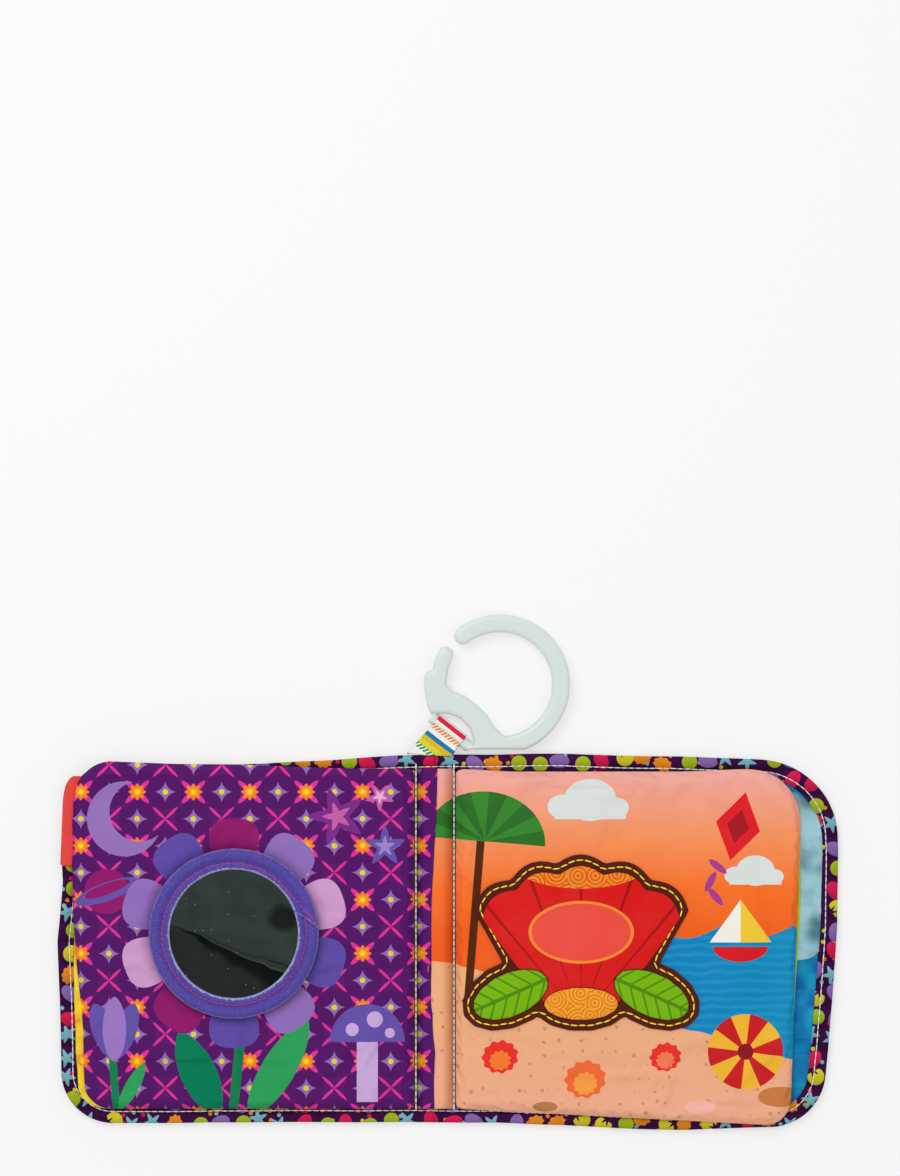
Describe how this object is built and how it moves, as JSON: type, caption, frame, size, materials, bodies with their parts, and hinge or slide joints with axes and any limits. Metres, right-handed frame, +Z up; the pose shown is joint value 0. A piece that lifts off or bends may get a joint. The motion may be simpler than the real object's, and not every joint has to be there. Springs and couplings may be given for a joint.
{
  "type": "crinkle cloth book",
  "caption": "Soft padded cloth book lying open, with a round mirror, a shell applique, a side tab and a plastic link ring on a ribbon.",
  "frame": {"origin": "underside of the spine, at its middle, where the open book rests", "axes": "+X across the open book towards the right page, +Y along the spine towards the link ring, +Z up off the table"},
  "size_m": [0.3136, 0.205, 0.013],
  "materials": {
    "cover_print": "printed woven cotton",
    "batting": "polyester wadding",
    "crinkle_film": "thin crackling film",
    "yellow_lining": "soft woven cloth",
    "blue_lining": "printed woven cloth",
    "fleece": "short fleece",
    "white_thread": "sewing thread",
    "purple_cloth": "printed woven cloth",
    "beach_cloth": "printed woven cloth",
    "yellow_page_cloth": "soft woven cloth",
    "green_page_cloth": "soft woven cloth",
    "mirror_backing": "thin foam",
    "mirror_film": "flexible mirror film",
    "velour": "velour",
    "magenta_thread": "sewing thread",
    "yellow_thread": "sewing thread",
    "coral_cloth": "soft woven cloth",
    "felt": "felt",
    "red_cloth": "soft woven cloth",
    "orange_cloth": "soft woven cloth",
    "leaf_cloth": "soft woven cloth",
    "ribbon": "woven striped ribbon",
    "link_plastic": "smooth moulded, satin"
  },
  "bodies": {
    "spine": {"gutter_left_cloth": "purple_cloth", "gutter_padding": "batting", "gutter_right_cloth": "beach_cloth", "left_seam_thread": "white_thread", "right_seam_thread": "white_thread", "spine_batting": "batting", "spine_bottom_topstitch": "white_thread", "spine_lining": "blue_lining", "spine_print": "cover_print", "spine_top_topstitch": "white_thread", "ribbon_tail": "ribbon"},
    "front_cover": {"front_cover_batting": "batting", "front_cover_crinkle_film": "crinkle_film", "front_cover_lining": "yellow_lining", "front_cover_print": "cover_print", "front_cover_topstitch": "white_thread"},
    "back_cover": {"back_cover_batting": "batting", "back_cover_crinkle_film": "crinkle_film", "back_cover_lining": "blue_lining", "back_cover_print": "cover_print", "back_cover_topstitch": "white_thread", "fleece_piece": "fleece"},
    "left_page": {"left_page_back_cloth": "yellow_page_cloth", "left_page_batting": "batting", "left_page_crinkle_film": "crinkle_film", "left_page_front_cloth": "purple_cloth", "mirror_backing": "mirror_backing", "mirror_film": "mirror_film", "mirror_ring": "velour", "mirror_ring_stitch": "magenta_thread", "side_tab": "coral_cloth"},
    "right_page": {"right_page_back_cloth": "green_page_cloth", "right_page_batting": "batting", "right_page_crinkle_film": "crinkle_film", "right_page_front_cloth": "beach_cloth", "applique_border_stitch": "yellow_thread", "applique_felt": "felt", "applique_foot": "orange_cloth", "applique_left_leaf": "leaf_cloth", "applique_right_leaf": "leaf_cloth", "applique_shell": "red_cloth"},
    "ribbon_loop": {"ribbon_loop": "ribbon"},
    "link_ring": {"link_ring": "link_plastic"}
  },
  "joints": [
    {"name": "front_cover_fold", "type": "hinge", "parent": "spine", "child": "front_cover", "pos_m": [-0.0076, 0, 0.0052], "axis": [0, 1, 0], "range_deg": [0, 90]},
    {"name": "back_cover_fold", "type": "hinge", "parent": "spine", "child": "back_cover", "pos_m": [0.0076, 0, 0.0052], "axis": [0, -1, 0], "range_deg": [0, 90]},
    {"name": "left_page_turn", "type": "hinge", "parent": "front_cover", "child": "left_page", "pos_m": [-0.0076, 0, 0.0052], "axis": [0, -1, 0], "range_deg": [-90, 0]},
    {"name": "right_page_turn", "type": "hinge", "parent": "back_cover", "child": "right_page", "pos_m": [0.0076, 0, 0.0052], "axis": [0, 1, 0], "range_deg": [-90, 0]},
    {"name": "ribbon_flop", "type": "hinge", "parent": "spine", "child": "ribbon_loop", "pos_m": [0, 0.07415, 0.0041], "axis": [-1, 0, 0], "range_deg": [-90, 0]},
    {"name": "link_swing", "type": "hinge", "parent": "ribbon_loop", "child": "link_ring", "pos_m": [0.0056, 0.08395, 0.00325], "axis": [0.7867, -0.6173, 0], "range_deg": [0, 80]}
  ]
}
